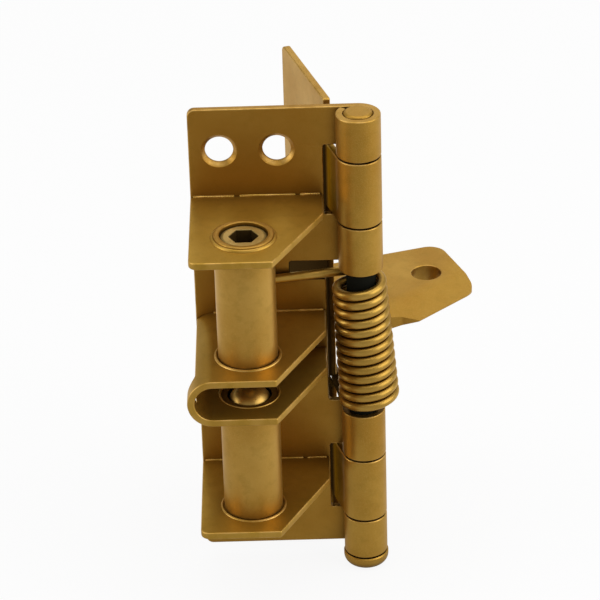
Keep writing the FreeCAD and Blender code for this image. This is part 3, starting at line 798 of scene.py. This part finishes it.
# A third number is the share of dark colour, laid on as painted shade in the socket and round the face.
screw_profile = [
    (SCREW_R - SCREW_CHAMFER, SCREW_END), (SCREW_R, SCREW_END + SCREW_CHAMFER),
    (SCREW_R, SCREW_TOP - SPRAY_STOP, 1.0), (SCREW_R, SCREW_TOP - FACE_DROP, 1.0),
    (FACE_R + 0.1, SCREW_TOP - 0.04, 0.4), (FACE_R - 0.15, SCREW_TOP),
    (hexagon(SOCKET_AF + SOCKET_MOUTH), SCREW_TOP), (hexagon(SOCKET_AF), SCREW_TOP - 0.25, 1.0),
    (hexagon(SOCKET_AF), SOCKET_FLOOR, 1.0), (DRILL_R, SOCKET_FLOOR - DRILL_TIP, 1.0),
]
screw_paint = bronze_gold("screw_paint", (0.74, 0.54, 0.20, 1), (0.62, 0.43, 0.13, 1), roughness=0.36)
for level, side in LEVELS:
    screw_form = turned(screw_profile, closed=False, segments=SCREW_SEGMENTS)
    stand_in_tube(screw_form, side)
    add_piece(level + "_set_screw", screw_form, screw_paint, "adjusting_screw",
              level + "_adjusting_screw", "fixed_side")

# Studio: a wide white floor that the hinge stands on, as on a photographer's table.
# Soft boxes stand at both sides, above and behind, and the room adds a little even light.
# The camera sees the floor as white. As the metal mirrors it, it is dimmer towards the front left.
FLOOR_HALF = 3
FLOOR_GAP = 0.0002
FLOOR_COLOUR = (0.8, 0.8, 0.8, 1)
FLOOR_ROUGHNESS = 0.9
WHITE_SHARE = 0.9
HEADING_SHIFT = (0, -0.05, 0)
FRONT_LEFT = (-0.4, -0.917, 0)
MIRRORED = {"From Min": -0.5, "From Max": 0.9, "To Min": 0.96, "To Max": 0.55}
ROOM_LIGHT = 0.45
HINGE_MIDDLE = Vector((0.004, -0.008, 0))
SOFT_BOXES = (
    ("right_soft_box", (0.78, -0.3, 0.4), 0.8, 4),
    ("left_soft_box", (-0.85, -0.2, 0.3), 0.6, 2.4),
    ("top_soft_box", (0.05, 0.05, 0.95), 1.1, 4.6),
    ("back_soft_box", (0.2, 0.85, 0.45), 0.7, 0.7),
)
floor_z = HEAD_LOW * MM - FLOOR_GAP
floor_signs = ((-1, -1), (1, -1), (1, 1), (-1, 1))
floor_corners = [(x * FLOOR_HALF, y * FLOOR_HALF, floor_z) for x, y in floor_signs]
floor_mesh = bpy.data.meshes.new("studio_floor")
floor_mesh.from_pydata(floor_corners, [], [(0, 1, 2, 3)])
floor = bpy.data.objects.new("studio_floor", floor_mesh)
bpy.context.scene.collection.objects.link(floor)

floor_white = bpy.data.materials.new("floor_white")
floor_white.use_nodes = True
nodes = floor_white.node_tree.nodes
links = floor_white.node_tree.links
floor_shader = nodes["Principled BSDF"]
floor_shader.inputs["Base Color"].default_value = FLOOR_COLOUR
floor_shader.inputs["Roughness"].default_value = FLOOR_ROUGHNESS
place = nodes.new("ShaderNodeTexCoord")
flattened = nodes.new("ShaderNodeVectorMath")
flattened.operation = "MULTIPLY_ADD"
flattened.inputs[1].default_value = (1, 1, 0)
flattened.inputs[2].default_value = HEADING_SHIFT
links.new(place.outputs["Object"], flattened.inputs[0])
heading = nodes.new("ShaderNodeVectorMath")
heading.operation = "NORMALIZE"
links.new(flattened.outputs[0], heading.inputs[0])
frontward = nodes.new("ShaderNodeVectorMath")
frontward.operation = "DOT_PRODUCT"
frontward.inputs[1].default_value = FRONT_LEFT
links.new(heading.outputs[0], frontward.inputs[0])
mirrored = nodes.new("ShaderNodeMapRange")
links.new(frontward.outputs["Value"], mirrored.inputs["Value"])
for socket, number in MIRRORED.items():
    mirrored.inputs[socket].default_value = number
ray = nodes.new("ShaderNodeLightPath")
strength = nodes.new("ShaderNodeMix")
links.new(ray.outputs["Is Glossy Ray"], strength.inputs["Factor"])
strength.inputs[2].default_value = 1.0
links.new(mirrored.outputs["Result"], strength.inputs[3])
glow = nodes.new("ShaderNodeEmission")
links.new(strength.outputs[0], glow.inputs["Strength"])
seen = nodes.new("ShaderNodeMath")
seen.operation = "MULTIPLY"
seen.inputs[1].default_value = WHITE_SHARE
links.new(ray.outputs["Is Camera Ray"], seen.inputs[0])
for ray_kind in ("Is Glossy Ray", "Is Transmission Ray"):
    larger = nodes.new("ShaderNodeMath")
    larger.operation = "MAXIMUM"
    links.new(seen.outputs[0], larger.inputs[0])
    links.new(ray.outputs[ray_kind], larger.inputs[1])
    seen = larger
floor_mix = nodes.new("ShaderNodeMixShader")
links.new(seen.outputs[0], floor_mix.inputs[0])
links.new(floor_shader.outputs[0], floor_mix.inputs[1])
links.new(glow.outputs[0], floor_mix.inputs[2])
links.new(floor_mix.outputs[0], nodes["Material Output"].inputs["Surface"])
floor_mesh.materials.append(floor_white)

room = bpy.data.worlds.new("studio_room")
bpy.context.scene.world = room
room.use_nodes = True
room.node_tree.nodes["Background"].inputs["Color"].default_value = (1, 1, 1, 1)
room.node_tree.nodes["Background"].inputs["Strength"].default_value = ROOM_LIGHT

for lamp_name, lamp_place, size, watts in SOFT_BOXES:
    lamp = bpy.data.lights.new(lamp_name, "AREA")
    lamp.size = size
    lamp.energy = watts
    lamp_stand = bpy.data.objects.new(lamp_name, lamp)
    lamp_stand.location = lamp_place
    lamp_stand.rotation_euler = (Vector(lamp_place) - HINGE_MIDDLE).to_track_quat("Z", "Y").to_euler()
    bpy.context.scene.collection.objects.link(lamp_stand)

# Camera: a long lens about 0.9 m away, looking down on the hinge by some 30 degrees and slightly tilted.
# Its place and focal length come from a fit to edges and points of the hinge in the photograph.
EYE = Vector((-13.374, -781.138, 455.046))
AHEAD = Vector((-0.0037464, 0.8700136, -0.4930134))
RIGHT = Vector((0.9996118, -0.0103528, -0.0258654))
FOCAL_PIXELS = 3297.407
IMAGE_PIXELS = 600
lens = bpy.data.cameras.new("photo_camera")
lens.sensor_width = 36
lens.lens = FOCAL_PIXELS / IMAGE_PIXELS * lens.sensor_width
lens.clip_start = 0.05
lens.clip_end = 20
camera = bpy.data.objects.new("photo_camera", lens)
bpy.context.scene.collection.objects.link(camera)
camera_place = Matrix.Translation((EYE + Vector((PIN_X, PIN_Y, 0))) * MM)
camera_turn = Matrix((RIGHT, RIGHT.cross(AHEAD), -AHEAD)).transposed().to_4x4()
camera.matrix_world = camera_place @ camera_turn
bpy.context.scene.camera = camera
bpy.context.scene.view_settings.view_transform = "Standard"
